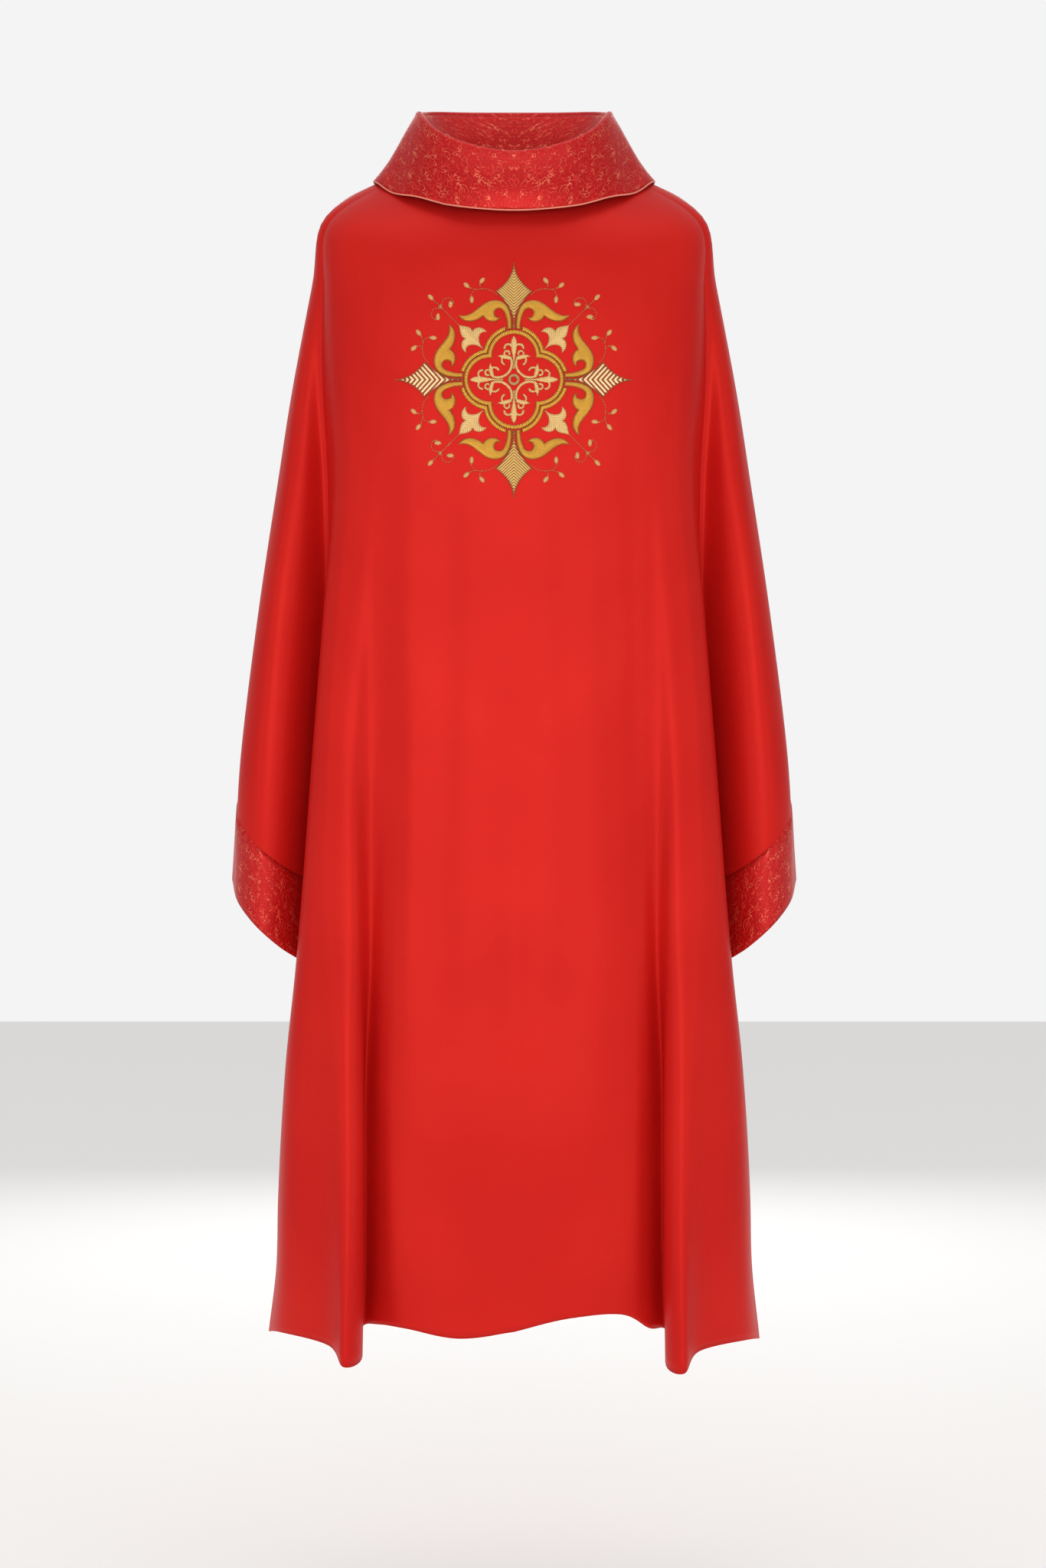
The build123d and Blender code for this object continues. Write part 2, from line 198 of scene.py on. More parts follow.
def satin(name, lit, shade):
    """Satin weave in a colour that drifts a little between two dyes."""
    material, tree, shader = new_material(name, 0.45, Specular_IOR_Level=0.4, Metallic=0.2)
    shader.inputs["Specular Tint"].default_value = linear("#FF8A78")
    uv = add_node(tree, "ShaderNodeUVMap", uv_map="cloth").outputs["UV"]
    drift = add_node(tree, "ShaderNodeTexNoise", links={"Vector": uv},
                     values={"Scale": 5.0, "Detail": 3.0, "Roughness": 0.45}).outputs["Fac"]
    tree.links.new(ramp(tree, drift, [(0.35, shade), (0.65, lit)]), shader.inputs["Base Color"])
    warp = add_node(tree, "ShaderNodeTexWave", links={"Vector": uv}, bands_direction="X",
                    values={"Scale": 0.5 / SATIN_THREAD / math.pi, "Distortion": 1.2,
                            "Detail": 2.0, "Detail Scale": 2.5}).outputs["Fac"]
    slub = add_node(tree, "ShaderNodeTexNoise", links={"Vector": uv},
                    values={"Scale": 160.0, "Detail": 2.0}).outputs["Fac"]
    first = bump(tree, shader, warp, 0.00003, 0.35)
    bump(tree, shader, slub, 0.00006, 0.25, under=first)
    return material


red_satin = satin("red polyester satin", "#D8241E", "#CF1E1B")
red_lining = satin("dark red lining twill", "#A8121A", "#8E0E16")

# %% [markdown]
# ### Brocade
# The collar and cuffs are a figured brocade: small winding figures in a shiny weft stand on a
# dull ground, the same left and right of the centre line.  The figure is a noise whose middle
# values are picked out as thin winding lines, a few millimetres apart.  In noise patches the
# lines take a lighter glint colour, a painted highlight, and more metallic for the shinier weft.

# %% Brocade
FIGURE_SIZE = 4.6 * MM


def brocade_cloth(name, ground, figure, glint):
    """Red brocade with winding, mirrored figures, with a painted glint on them in patches."""
    material, tree, shader = new_material(name, 0.42, Specular_IOR_Level=0.4)
    uv = add_node(tree, "ShaderNodeUVMap", uv_map="cloth").outputs["UV"]
    mirrored = add_node(tree, "ShaderNodeVectorMath", links={0: uv}, operation="ABSOLUTE")
    figures = add_node(tree, "ShaderNodeTexNoise", links={"Vector": mirrored.outputs[0]},
                       values={"Scale": 1 / FIGURE_SIZE, "Detail": 0.6, "Roughness": 0.4,
                               "Distortion": 0.5}).outputs["Fac"]
    line = add_node(tree, "ShaderNodeMath", links={0: figures}, values={1: 0.5},
                    operation="SUBTRACT").outputs[0]
    line = add_node(tree, "ShaderNodeMath", links={0: line}, operation="ABSOLUTE").outputs[0]
    figure_mask = add_node(tree, "ShaderNodeMapRange", links={"Value": line},
                           values={"From Min": 0.02, "From Max": 0.06, "To Min": 1.0,
                                   "To Max": 0.0}).outputs[0]
    # Painted highlight: in random patches the figure lines get the lighter glint colour, with more metallic.
    patches = add_node(tree, "ShaderNodeTexNoise", links={"Vector": mirrored.outputs[0]},
                       values={"Scale": 90.0, "Detail": 1.0}).outputs["Fac"]
    patch_mask = add_node(tree, "ShaderNodeMapRange", links={"Value": patches},
                          values={"From Min": 0.48, "From Max": 0.7}).outputs[0]
    glints = add_node(tree, "ShaderNodeMath", links={0: figure_mask, 1: patch_mask},
                      operation="MULTIPLY").outputs[0]
    woven = add_node(tree, "ShaderNodeMix", data_type="RGBA", links={"Factor": figure_mask},
                     values={6: linear(ground), 7: linear(figure)}).outputs[2]
    lit = add_node(tree, "ShaderNodeMix", data_type="RGBA", links={"Factor": glints, 6: woven},
                   values={7: linear(glint)}).outputs[2]
    tree.links.new(lit, shader.inputs["Base Color"])
    metal = add_node(tree, "ShaderNodeMapRange", links={"Value": glints},
                     values={"To Min": 0.5, "To Max": 0.8}).outputs[0]
    tree.links.new(metal, shader.inputs["Metallic"])
    bump(tree, shader, figure_mask, 0.0005, 0.6)
    return material


brocade = brocade_cloth("red figured brocade", "#CC1518", "#E23228", "#FF8464")

# %% [markdown]
# ### Gold threads
# Satin stitch lays threads side by side.  Each embroidered piece carries a number on every
# vertex, "stitch", that counts the threads across it in millimetres, and the material turns that
# number into fine ridges, with a painted highlight on each thread's crest and painted shade in the
# gaps between threads.  A second number, "rim", paints shade towards a piece's edge, where the
# padding falls away.  Real threads are 0.4 mm.  They are drawn 1.1 to 3.2 mm apart so that they
# show, and the ribs of the side points 5.4 mm apart.

# %% Gold threads
THREAD_PITCH = 1.1       # in millimetres, the unit of the "stitch" attribute
RIB_PITCH = 5.4          # herringbone ribs of the side points, in bundles of threads


def gold_thread(name, light, dark, depth, metallic, roughness=0.38, pitch=THREAD_PITCH, gap=0.05):
    """Embroidery thread ridged along the stitch attribute, with painted highlight and painted shade."""
    material, tree, shader = new_material(name, roughness, Metallic=metallic,
                                          Specular_IOR_Level=0.5, Sheen_Weight=0.15)
    count = add_node(tree, "ShaderNodeAttribute", attribute_name="stitch").outputs["Fac"]
    place = add_node(tree, "ShaderNodeTexCoord").outputs["Object"]
    wander = add_node(tree, "ShaderNodeTexNoise", links={"Vector": place},
                      values={"Scale": 420.0, "Detail": 2.0}).outputs["Fac"]
    uneven = add_node(tree, "ShaderNodeMath", links={0: wander, 2: count}, values={1: 0.9},
                      operation="MULTIPLY_ADD").outputs[0]
    phase = add_node(tree, "ShaderNodeMath", links={0: uneven},
                     values={1: 2 * math.pi / pitch}, operation="MULTIPLY").outputs[0]
    ridge = add_node(tree, "ShaderNodeMath", links={0: phase}, operation="SINE").outputs[0]
    height = add_node(tree, "ShaderNodeMapRange", links={"Value": ridge},
                      values={"From Min": -1.0}).outputs[0]
    # Painted highlight and shade: the ridge height lights each thread's crest and darkens the gap, with a little
    # random noise.
    painted_ridge_shading_and_noise = add_node(tree, "ShaderNodeMix", data_type="FLOAT",
                    links={2: height, 3: wander}, values={"Factor": 0.22}).outputs[0]
    # Painted shade: the "rim" number darkens the thread towards a piece's edge.
    edge = add_node(tree, "ShaderNodeAttribute", attribute_name="rim").outputs["Fac"]
    shaded = add_node(tree, "ShaderNodeMath", links={0: painted_ridge_shading_and_noise, 1: edge}, operation="MULTIPLY").outputs[0]
    # The ramp runs from `dark`, painted shade between threads, to `light`, the painted highlight on each crest.
    tree.links.new(ramp(tree, shaded, [(gap, dark), (gap + 0.42, light)]), shader.inputs["Base Color"])
    bump(tree, shader, height, depth, 0.8)
    return material


# Each gold is given by its painted highlight colour, then its painted shade colour.
padded_gold = gold_thread("padded old-gold satin stitch", "#F0B23A", "#74460E", 0.0002, 0.55, 0.33)
deep_gold = gold_thread("antique gold herringbone stitch", "#EAB964", "#80501A", 0.0004, 0.3, 0.4,
                        3.2, 0.12)
# The pale gold herringbone's dark colour is the red satin between its ribs as well as painted shade.
ribbed_gold = gold_thread("pale gold herringbone stitch", "#FFE2A0", "#982814", 0.0006, 0.2, 0.4,
                          RIB_PITCH, 0.26)
pale_gold = gold_thread("pale gold satin stitch", "#FFD68A", "#A0622A", 0.0003, 0.25, 0.38, 1.8)
rose_thread = gold_thread("rose-gold running thread", "#E6B06C", "#B87A3A", 0.0001, 0.3, 0.45)


def plain_thread(name, colour, roughness=0.6):
    """Sewing thread or tape with a faint twist."""
    material, tree, shader = new_material(name, roughness, Sheen_Weight=0.2)
    place = add_node(tree, "ShaderNodeTexCoord").outputs["Object"]
    twist = add_node(tree, "ShaderNodeTexNoise", links={"Vector": place},
                     values={"Scale": 900.0, "Detail": 2.0}).outputs["Fac"]
    shader.inputs["Base Color"].default_value = linear(colour)
    bump(tree, shader, twist, 0.0001, 0.5)
    return material


coral_edge = plain_thread("coral edging thread", "#F08C74")
tape_cloth = plain_thread("dark red cotton tape", "#9C161C")
canvas = plain_thread("white collar canvas", "#E2DCD0", 0.8)
floor_paint = plain_thread("matt white floor", "#F4F3F1", 0.9)
floor_shader = floor_paint.node_tree.nodes["Principled BSDF"]
floor_shader.inputs["Emission Color"].default_value = linear("#F4F3F1")
floor_shader.inputs["Emission Strength"].default_value = 0.16
floor.data.materials.append(floor_paint)
print("materials", [m.name for m in bpy.data.materials])

# %% [markdown]
# ## How the cloth hangs
# Satin this heavy falls in a few long folds.  A trial simulation gave many narrow ones on the
# chest, where a flat centre was wanted, with a tube-like fold on each side that deepens towards
# the hem, and a groove between the body and each sleeve.  So the hang is drawn the way a cutter
# would drape it on the stand: a handful of rings round the body, each with a point for every
# fold, and smooth curves through them.  A fold keeps its place in every ring, so the curves
# follow it from the shoulder to the hem.

# %% Curves through the rings
def tangents(knots, points):
    """Slopes at the knots that keep the curve smooth and calm between uneven knots."""
    step = np.diff(knots)[:, None, None]
    slope = np.diff(points, axis=0) / step
    middle = (slope[:-1] * step[1:] + slope[1:] * step[:-1]) / (step[:-1] + step[1:])
    return np.concatenate([slope[:1], middle, slope[-1:]])


def through(knots, points, at):
    """Points of a smooth curve through rows of points, at the given places."""
    knots = np.asarray(knots, float)
    slope = tangents(knots, points)
    span = np.clip(np.searchsorted(knots, at, side="right") - 1, 0, len(knots) - 2)
    width = (knots[span + 1] - knots[span])[:, None, None]
    t = ((at - knots[span]) / (knots[span + 1] - knots[span]))[:, None, None]
    return ((2 * t**3 - 3 * t**2 + 1) * points[span] + (t**3 - 2 * t**2 + t) * width * slope[span]
            + (-2 * t**3 + 3 * t**2) * points[span + 1] + (t**3 - t**2) * width * slope[span + 1])


def smooth_grid(net, depths, rows, columns_per_gap):
    """A dense grid over a net of rings: rows along the cloth, columns across it."""
    down = through(depths, net, rows)
    across = down.transpose(1, 0, 2)
    stations = np.arange(across.shape[0])
    fine = np.linspace(0, across.shape[0] - 1, (across.shape[0] - 1) * columns_per_gap + 1)
    return through(stations, across, fine).transpose(1, 0, 2)


# %% [markdown]
# The rings below are in millimetres for the right half of the front, as (right of centre, out
# from the middle).  Each ring runs from the centre line over the fold beside it to the groove.
# A second table takes over at the groove and runs across the sleeve to the shoulder seam.

# %% Rings of the body and the sleeve
NECK_HALF_W, NECK_HALF_D, NECK_DIP = 76, 67, 58
EDGE_HALF_W, EDGE_HALF_D, EDGE_SIDE_Z, EDGE_DIP = 150, 90, -22, 51
BODY_ANGLES = (0, 13, 22, 31, 39, 45, 51, 58, 65, 69, 72)
SLEEVE_ANGLES = (72, 76, 80, 84, 87, 90)


def neck_ring(angles, half_w, half_d, side_z, dip):
    """Points round the neck, at angles from the front; the front dips below the sides."""
    return [(half_w * math.sin(math.radians(a)), half_d * math.cos(math.radians(a)),
             side_z - dip * math.cos(math.radians(a)) ** 1.5) for a in angles]


def ring(z, *points):
    """A ring of points at one height."""
    return [(x, out, z) for x, out in points]


DEPTHS = (0, 88, 150, 205, 262, 403, 540, 700, 933, 1040, 1190, 1268, 1343)
UNDERARM_ROW = 933
BODY_RINGS = [
    neck_ring(BODY_ANGLES, NECK_HALF_W, NECK_HALF_D, 0, NECK_DIP),
    neck_ring(BODY_ANGLES, EDGE_HALF_W, EDGE_HALF_D, EDGE_SIDE_Z, EDGE_DIP),
    [(0, 104, -112), (52, 103, -112), (92, 100, -110), (116, 97, -107), (137, 94, -103), (153, 90, -99),
     (168, 85, -95), (183, 78, -90), (195, 68, -85), (203, 56, -81), (206, 45, -79)],
    [(0, 112, -160), (55, 111, -160), (95, 109, -160), (120, 107, -159), (142, 104, -158), (157, 100, -157),
     (172, 95, -156), (186, 88, -155), (198, 78, -153), (206, 63, -151), (210, 47, -149)],
    ring(-222, (0, 117), (58, 116), (100, 115), (125, 113), (145, 110), (159, 107), (173, 103), (187, 96),
         (198, 85), (206, 68), (211, 48)),
    ring(-363, (0, 122), (60, 121), (103, 120), (128, 117), (145, 115), (158, 113), (171, 109), (183, 102),
         (194, 89), (200, 66), (205, 42)),
    ring(-500, (0, 126), (61, 125), (106, 123), (132, 119), (151, 117), (165, 117), (179, 114), (193, 108),
         (205, 94), (208, 62), (205, 26)),
    ring(-660, (0, 130), (62, 128), (106, 125), (135, 118), (155, 116), (172, 121), (188, 119), (204, 113),
         (217, 99), (220, 64), (213, 20)),
    ring(-893, (0, 134), (63, 131), (114, 128), (140, 118), (156, 104), (166, 127), (181, 132),
         (207, 122), (234, 100), (238, 52), (228, 10)),
    ring(-1000, (0, 132), (63, 130), (120, 125), (144, 113), (161, 92), (163, 128), (179, 141), (204, 128),
         (243, 100), (251, 46), (249, 8)),
    ring(-1150, (0, 126), (62, 124), (122, 118), (145, 104), (163, 80), (162, 134), (179, 150), (203, 132),
         (248, 100), (260, 42), (260, 7)),
    ring(-1227, (0, 119), (61, 119), (120, 113), (146, 99), (164, 74), (162, 136), (180, 156), (202, 131),
         (250, 95), (262, 40), (263, 7)),
    ring(-1303, (0, 112), (60, 114), (117, 108), (147, 93), (166, 72), (163, 138), (182, 161), (199, 128),
         (252, 86), (270, 34), (272, 6)),
]
SLEEVE_RINGS = [
    neck_ring(SLEEVE_ANGLES, NECK_HALF_W, NECK_HALF_D, 0, NECK_DIP),
    neck_ring(SLEEVE_ANGLES, EDGE_HALF_W, EDGE_HALF_D, EDGE_SIDE_Z, EDGE_DIP),
    [(206, 45, -79), (209, 42, -76), (212, 34, -73), (211.5, 23, -69), (208.5, 12, -64), (204.5, 0, -58)],
    [(210, 47, -149), (214, 45, -147), (219, 39, -145), (223, 28, -142), (224, 13, -137), (222.5, 0, -131)],
    ring(-222, (211, 48), (216, 46), (226, 45), (235, 36), (240, 17), (240.5, 0)),
    ring(-363, (205, 42), (213, 42), (231, 56), (250, 53), (261.5, 27), (263.5, 0)),
    ring(-500, (205, 26), (213, 28), (236, 62), (262, 69), (280, 44), (284, 0)),
    ring(-660, (213, 20), (220, 24), (246, 68), (277, 76), (299, 50), (303, 0)),
    [(228, 10, -893), (238, 26, -886), (258, 50, -871), (281, 60, -849), (303, 40, -822), (313, 0, -798)],
]
HEM_HEIGHTS = {
    "left": (-1285, -1292, -1282, -1280, -1287, -1310, -1314, -1297, -1290, -1297, -1302),
    "right": (-1285, -1270, -1267, -1284, -1290, -1317, -1321, -1303, -1298, -1305, -1309),
}
COLUMNS_PER_GAP = 7
ROW_STEP = 9.0
rows_to_underarm = np.linspace(0, UNDERARM_ROW, round(UNDERARM_ROW / ROW_STEP) + 1)
rows_below = np.linspace(UNDERARM_ROW, DEPTHS[-1], round((DEPTHS[-1] - UNDERARM_ROW) / ROW_STEP) + 1)[1:]
all_rows = np.concatenate([rows_to_underarm, rows_below])
UNDERARM = len(rows_to_underarm) - 1
print("rows", len(all_rows), "of which", UNDERARM, "above the underarm")

# %% [markdown]
# The back hangs from the same shoulders, without the folds listed for the front: its rings are the
# front's with the tube-like fold mostly pressed out.  Small soft waves, the same every run, keep any
# stretch of cloth from looking moulded.

# %% One half of a panel
BACK_FOLD = 0.35         # share of the side folds' depth that the back keeps


def half_panel(front, side):
    """Grids of one half panel in metres: body (centre to groove) and sleeve (groove to seam)."""
    body = np.array(BODY_RINGS, float)
    sleeve = np.array(SLEEVE_RINGS, float)
    body[-1, :, 2] = HEM_HEIGHTS[side if front else "left"]
    if not front:
        share = np.linspace(0, 1, 6)[1:-1]
        for number in range(3, len(body)):
            flat_out = body[number, 2, 1] * (1 - share) + body[number, 7, 1] * share
            body[number, 3:7, 1] = flat_out + BACK_FOLD * (body[number, 3:7, 1] - flat_out)
        body[-1, :, 2] = -1300
        body[:2, :, 2] = [[z * 0.25 + 12 * math.cos(math.radians(a)) for z, a in zip(row, BODY_ANGLES)]
                          for row in body[:2, :, 2]]
        sleeve[:2, :, 2] = [[z * 0.25 + 12 * math.cos(math.radians(a)) for z, a in zip(row, SLEEVE_ANGLES)]
                            for row in sleeve[:2, :, 2]]
        body[1, :, 2] -= 22
        sleeve[1, :, 2] -= 22
    grids = [smooth_grid(body, DEPTHS, all_rows, COLUMNS_PER_GAP),
             smooth_grid(sleeve, DEPTHS[:9], rows_to_underarm, COLUMNS_PER_GAP)]
    seed = 3.1 * (side == "right") + 7.7 * (not front)
    for grid in grids:
        calm = np.clip((-grid[..., 2] - 130) / 500, 0, 1)
        for r, c in np.ndindex(grid.shape[:2]):
            x, out, z = grid[r, c]
            long_fold = noise.noise(Vector((x / 48, seed, z / 420)))
            crumple = noise.noise(Vector((x / 95 + 9, seed + 5, z / 110)))
            centre = min(1.0, abs(x) / 30)
            grid[r, c, 1] += min(out / 40, 1) * centre * (3.4 * calm[r, c] * long_fold + 0.6 * crumple)
        grid[..., 1] *= -1 if front else 1
        if side == "left":
            grid[..., 0] *= -1
    return [grid * MM for grid in grids]


half_panels = {(front, side): half_panel(front, side) for front in (True, False)
               for side in ("left", "right")}
print("front right body grid", half_panels[True, "right"][0].shape)

# %% [markdown]
# ## From grids to cloth
# A grid of points becomes a mesh of quads.  The cloth's own coordinates, across and along in
# metres, are kept as a UV map, so weave and brocade follow the folds.  `make_sheet` joins grids
# that share an edge, checks that faces point outwards and gives the cloth its thickness with a
# Solidify modifier.

# %% Grids to meshes
def cloth_uv(grid):
    """Across and along distances of a grid, in metres."""
    across = np.zeros(grid.shape[:2])
    along = np.zeros(grid.shape[:2])
    across[:, 1:] = np.cumsum(np.linalg.norm(np.diff(grid, axis=1), axis=2), axis=1)
    along[1:, :] = np.cumsum(np.linalg.norm(np.diff(grid, axis=0), axis=2), axis=0)
    return np.stack([across, along], axis=2)


def make_sheet(name, grids, material, thickness, offset=-1.0, uvs=None, out=None, weld=2e-5):
    """One piece of cloth from grids that share edges; `out` tells which way a point faces."""
    mesh = bpy.data.meshes.new(name)
    build = bmesh.new()
    layer = build.loops.layers.uv.new("cloth")
    for number, grid in enumerate(grids):
        uv = cloth_uv(grid) if uvs is None else uvs[number]
        made = [[build.verts.new(p) for p in row] for row in grid]
        for r in range(grid.shape[0] - 1):
            for c in range(grid.shape[1] - 1):
                corners = [(r, c), (r, c + 1), (r + 1, c + 1), (r + 1, c)]
                face = build.faces.new([made[i][j] for i, j in corners])
                face.smooth = True
                for loop, (i, j) in zip(face.loops, corners):
                    loop[layer].uv = uv[i, j]
    bmesh.ops.remove_doubles(build, verts=build.verts, dist=weld)
    bmesh.ops.dissolve_degenerate(build, edges=build.edges, dist=1e-6)
    bmesh.ops.recalc_face_normals(build, faces=build.faces)
    build.faces.ensure_lookup_table()
    if out is not None:
        agree = sum(f.normal.dot(out(f.calc_center_median())) * f.calc_area() for f in build.faces)
        if agree < 0:
            bmesh.ops.reverse_faces(build, faces=build.faces)
    print(name, "cloth area", round(sum(f.calc_area() for f in build.faces), 4), "square metres")
    build.to_mesh(mesh)
    build.free()
    piece = bpy.data.objects.new(name, mesh)
    scene.collection.objects.link(piece)
    mesh.materials.append(material)
    solid = piece.modifiers.new("thickness", "SOLIDIFY")
    solid.thickness = thickness
    solid.offset = offset
    solid.use_even_offset = False
    return piece


def facing(y):
    """Which way is out for a front or a back piece."""
    return lambda centre: Vector((centre.x * 0.4, y, 0))


def settle(piece, slot, *nodes):
    """Ride the piece on the garment's one body and let it stand for its plain solids."""
    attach(piece, "root")
    if nodes:
        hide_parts(*nodes)


# %% [markdown]
# ## The two panels
# Each panel is one cut of satin: body and half sleeves.  Below the underarm a short strip closes
# the gap from the groove to the side seam.  The flat size given here is worked back from the
# cloth of this hung model, as are the sizes of all the strips and bands further down.  It isn't
# a cutter's pattern: that is likely wider, about 1.5 m, since real folds take up more cloth.

# %% Front and back panels
SATIN_T = 0.9 * MM


def side_strip_full(body):
    """Grid from the groove's column to the side seam, for every row."""
    edge = body[:, -1]
    seam = edge.copy()
    seam[:, 1] = 0
    return np.stack([edge, (edge + seam) / 2, seam], axis=1)


def side_strip(body):
    """The part of it below the underarm."""
    return side_strip_full(body)[UNDERARM:]


panels = {}
for front, word in ((True, "front"), (False, "back")):
    grids = []
    for side in ("left", "right"):
        body, sleeve = half_panels[front, side]
        grids += [body, sleeve, side_strip(body)]
    panel = make_sheet(f"{word}_satin", grids, red_satin, SATIN_T, out=facing(-1 if front else 1))
    settle(panel, "red_satin", f"{word}_panel")
    panels[front] = panel
    print(panel.name, len(panel.data.polygons), "faces")
# %% [markdown]
# ## Turned edges
# Inside the hem a strip of the same satin is sewn flat, 40 mm wide, so the edge hangs straight.
# Narrow tapes cover the side seams and the shoulder seams.  They are cut from the panels' own
# grids, moved inwards by a little more than the thickness of the cloth.

# %% Strips that follow a grid
def normals_of(grid, outward):
    """Unit normals of a grid, pointing to the side that `outward` is on."""
    down = np.gradient(grid, axis=0)
    across = np.gradient(grid, axis=1)
    normal = np.cross(across, down)
    normal /= np.linalg.norm(normal, axis=2, keepdims=True) + 1e-12
    sign = np.sign((normal * outward).sum(axis=2).mean())
    return normal * sign


def shifted(grid, outward, distance):
    """The grid moved along its normals."""
    return grid + normals_of(grid, outward) * distance


def outward_of(front, side):
    """Rough outward direction of a half panel."""
    return np.array([0.4 if side == "right" else -0.4, -1 if front else 1, 0.0])


# %% [markdown]
# A hem facing is a strip of lining sewn inside the lower edge.  It is cut from the panel's last
# rows and its own last row is tucked in, so the edge looks turned and not raw.

# %% Hem facings
HEM_FACING_H = 0.040
HEM_ROWS = 1 + round(HEM_FACING_H / (ROW_STEP * MM))

for front, word in ((True, "front"), (False, "back")):
    strips = []
    for side in ("left", "right"):
        body = half_panels[front, side][0]
        whole = np.concatenate([body, side_strip_full(body)[:, 1:]], axis=1)[-HEM_ROWS:]
        strip = shifted(whole, outward_of(front, side), -1.6 * MM)
        strip[-1] = whole[-1] + (strip[-1] - whole[-1]) * 0.75 + np.array([0, 0, 0.0012])
        strips.append(strip)
    facing_piece = make_sheet(f"{word}_hem_facing_satin", strips, red_lining, 0.6 * MM,
                              out=facing(-1 if front else 1))
    settle(facing_piece, "red_lining", f"{word}_hem_facing")
    print(facing_piece.name, len(facing_piece.data.polygons), "faces")

# %% [markdown]
# A tape covers each seam's raw edges.  The side tape is a straight ladder of five columns along
# the seam.  The shoulder tape follows the sleeve's top line, moved in by the cloth's thickness.

# %% Side and shoulder seam tapes
TAPE_W = 0.016
for side, sign in (("left", -1), ("right", 1)):
    body, sleeve = half_panels[True, side]
    seam = side_strip(body)[1:-HEM_ROWS - 1, -1]
    seam = seam - np.array([sign * 1.8 * MM, 0, 0])
    grid = np.stack([seam + np.array([0, y, 0]) for y in np.linspace(-TAPE_W / 2, TAPE_W / 2, 5)], axis=1)
    tape = make_sheet(f"{side}_side_tape", [grid], tape_cloth, 0.6 * MM, offset=0,
                      out=lambda centre, s=sign: Vector((s, 0, 0)))
    settle(tape, "red_tape", f"{side}_side_seam_tape")
    top = sleeve[2:40, -1]
    run = np.gradient(top, axis=0)
    inward = np.stack([sign * run[:, 2], 0 * run[:, 0], -sign * run[:, 0]], axis=1)
    inward /= np.linalg.norm(inward, axis=1, keepdims=True)
    inward *= -np.sign((inward * np.array([sign, 0, 1])).sum(axis=1, keepdims=True))
    path = top + inward * 2.2 * MM
    grid = np.stack([path + np.array([0, y, 0]) + inward * (y / TAPE_W) ** 2 * 2 * MM
                     for y in np.linspace(-TAPE_W / 2, TAPE_W / 2, 5)], axis=1)
    tape = make_sheet(f"{side}_shoulder_tape", [grid], tape_cloth, 0.6 * MM, offset=0,
                      out=lambda centre, s=sign: Vector((s, 0, 1)))
    settle(tape, "red_tape", f"{side}_shoulder_seam_tape")
print("seam tapes", 4)

# %% [markdown]
# ## Cuffs
# Each sleeve ends in a band of brocade, 60 mm wide, folded over the edge: one layer shows
# outside, the facing lies inside.  Both run from the underarm up the front edge, over the top
# fold and down the back edge.

# %% Cuff bands and facings
CUFF_BAND_H = 0.088      # height of the band measured straight down; it is 60 mm across the slant


def cuff_grid(side, height):
    """Grid of the sleeve's last part, front then back, `height` tall above the slanting edge."""
    parts = []
    for front in (True, False):
        sleeve = half_panels[front, side][1]
        rows = 14
        part = np.empty((rows, sleeve.shape[1], 3))
        for c in range(sleeve.shape[1]):
            column = sleeve[:, c]
            top = np.interp(column[-1, 2] + height, column[::-1, 2], np.arange(len(column))[::-1])
            places = np.linspace(top, len(column) - 1, rows)
            for axis in range(3):
                part[:, c, axis] = np.interp(places, np.arange(len(column)), column[:, axis])
        parts.append(part if front else part[:, ::-1])
    return np.concatenate([parts[0], parts[1][:, 1:]], axis=1), parts[0].shape[1]


cuffs = {}
for side, sign in (("left", -1), ("right", 1)):
    sleeve_end, turn = cuff_grid(side, CUFF_BAND_H)
    for kind, reach in (("band", 1.5 * MM), ("facing", -1.8 * MM)):
        normal = np.concatenate([normals_of(sleeve_end[:, :turn], outward_of(True, side)),
                                 normals_of(sleeve_end[:, turn - 1:], outward_of(False, side))[:, 1:]],
                                axis=1)
        normal[:, turn - 1] = (sign, 0, 0.15)
        grid = sleeve_end + normal * reach
        if kind == "band":
            grid[0] -= normal[0] * 1.1 * MM
            grid[-1] += np.array([0, 0, -0.0014])
        piece = make_sheet(f"{side}_cuff_{kind}_brocade", [grid], brocade, 0.9 * MM,
                           out=lambda centre, s=sign: Vector((s, 20 * centre.y, 0)))
        settle(piece, "red_brocade", f"{side}_cuff_{kind}")
        cuffs[side, kind] = piece
print("cuff pieces", [piece.name for piece in cuffs.values()])

# %% [markdown]
# ## The collar
# A deep rolled collar: brocade over stiff canvas, rising from the neckline as a stand, rolling
# over at the top and falling outwards to its edge.  Three rings describe it: the neckline, the
# top fold and the lower edge.  A profile drawn between them is swept round the neck.

# %% Rings of the collar
TOP_FOLD = [(0, -88, -4), (30, -87, -0.5), (49, -85, 4.5), (69.5, -79, 13), (87, -66, 25), (100, -42, 42),
            (105.5, -8, 55), (104, 30, 62), (90, 56, 68), (56, 74, 71), (0, 80, 72)]
LOWER_EDGE = [(0, -106, -71), (20, -106, -70.5), (46, -103, -68), (72, -96, -63.5),
              (107, -78, -51.5),
              (134, -52, -42.5), (152, -24, -26), (157, 10, -20.5), (138, 58, -34), (86, 92, -44), (0, 106, -50)]
COLLAR_COLUMNS = 264


def closed_ring(half, count):
    """A smooth closed ring from points of its right half, front to back, in metres."""
    right = np.array(half, float)
    left = right[1:-1][::-1] * (-1, 1, 1)
    whole = np.concatenate([right, left])
    looped = np.concatenate([whole[-3:], whole, whole[:3]])[:, None, :]
    steps = np.linalg.norm(np.diff(looped[:, 0], axis=0), axis=1)
    knots = np.concatenate([[0], np.cumsum(steps)])
    start, end = knots[3], knots[3 + len(whole)]
    return through(knots, looped, np.linspace(start, end, count, endpoint=False))[:, 0] * MM


